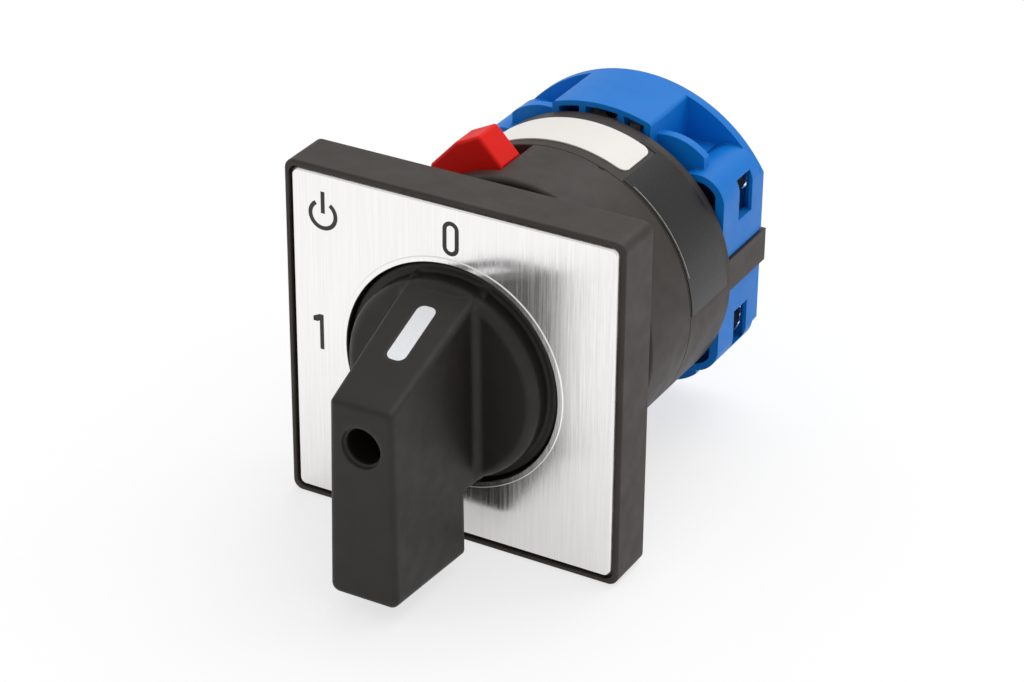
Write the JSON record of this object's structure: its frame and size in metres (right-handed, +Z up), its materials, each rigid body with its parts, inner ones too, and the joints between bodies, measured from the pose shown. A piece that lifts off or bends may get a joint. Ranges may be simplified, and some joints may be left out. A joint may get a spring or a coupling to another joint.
{
  "type": "rotary cam switch",
  "caption": "Panel-mounted rotary cam switch with square front plate, bar knob, lock lever, round body and screw terminals at the back.",
  "frame": {"origin": "on the switch axis, at the rear face of the front plate, where the panel surface comes", "axes": "X right seen from the front, Y back through the panel along the switch axis, Z up"},
  "size_m": [0.048, 0.0732, 0.048],
  "materials": {
    "black_plastic": "fine matt moulded black polyamide",
    "knob_plastic": "fine textured black polyamide",
    "brushed_silver": "vertically brushed bright silver sheet",
    "white_inlay": "plain white moulded bar",
    "screw_steel": "zinc plated screw steel",
    "shaft_steel": "drawn square bar",
    "spring_steel": "bright spring steel",
    "seal_rubber": "soft black rubber",
    "red_plastic": "semi-gloss red moulding",
    "natural_plastic": "undyed moulding resin",
    "white_film": "glossy white film",
    "dark_film": "glossy dark film",
    "blue_plastic": "satin blue moulding",
    "contact_brass": "plain brass strip"
  },
  "bodies": {
    "housing": {"front_frame": "black_plastic", "legend_plate": "brushed_silver", "mounting_collar": "black_plastic", "shaft_seal": "seal_rubber", "panel_gasket": "seal_rubber", "ring_nut": "black_plastic", "front_body": "black_plastic", "mechanism_housing": "black_plastic", "mechanism_plate": "black_plastic", "body_screws": "screw_steel", "detent_spring_right": "spring_steel", "detent_spring_left": "spring_steel", "white_label": "white_film", "dark_label": "dark_film", "contact_housing": "blue_plastic", "fixed_contact_1": "contact_brass", "fixed_contact_2": "contact_brass", "fixed_contact_3": "contact_brass", "fixed_contact_4": "contact_brass", "terminal_washers": "screw_steel", "terminal_screws": "screw_steel"},
    "knob": {"knob": "knob_plastic", "pointer_inlay": "white_inlay", "knob_screw": "screw_steel", "drive_shaft": "shaft_steel", "retaining_ring": "spring_steel", "detent_wheel": "natural_plastic", "cam": "natural_plastic"},
    "lock": {"lock_ring": "red_plastic"},
    "upper_carrier": {"carrier_top": "natural_plastic", "bridge_top": "contact_brass", "spring_top": "spring_steel"},
    "lower_carrier": {"carrier_bottom": "natural_plastic", "bridge_bottom": "contact_brass", "spring_bottom": "spring_steel"}
  },
  "joints": [
    {"name": "knob_turn", "type": "hinge", "parent": "housing", "child": "knob", "pos_m": [0, 0, 0], "axis": [0, -1, 0], "range_deg": [0, 90], "deforming": ["detent_spring_right", "detent_spring_left"]},
    {"name": "lock_swing", "type": "hinge", "parent": "housing", "child": "lock", "pos_m": [0, 0, 0], "axis": [0, -1, 0], "range_deg": [0, 26]},
    {"name": "upper_carrier_slide", "type": "slide", "parent": "housing", "child": "upper_carrier", "axis": [0, 0, -1], "range_m": [0, 0.0022], "deforming": ["spring_top"]},
    {"name": "lower_carrier_slide", "type": "slide", "parent": "housing", "child": "lower_carrier", "axis": [0, 0, 1], "range_m": [0, 0.0022], "deforming": ["spring_bottom"]}
  ],
  "couplings": [
    {"joint": "upper_carrier_slide", "follows": "knob_turn", "m_per_rad": 0.0014005},
    {"joint": "lower_carrier_slide", "follows": "knob_turn", "m_per_rad": 0.0014005}
  ]
}
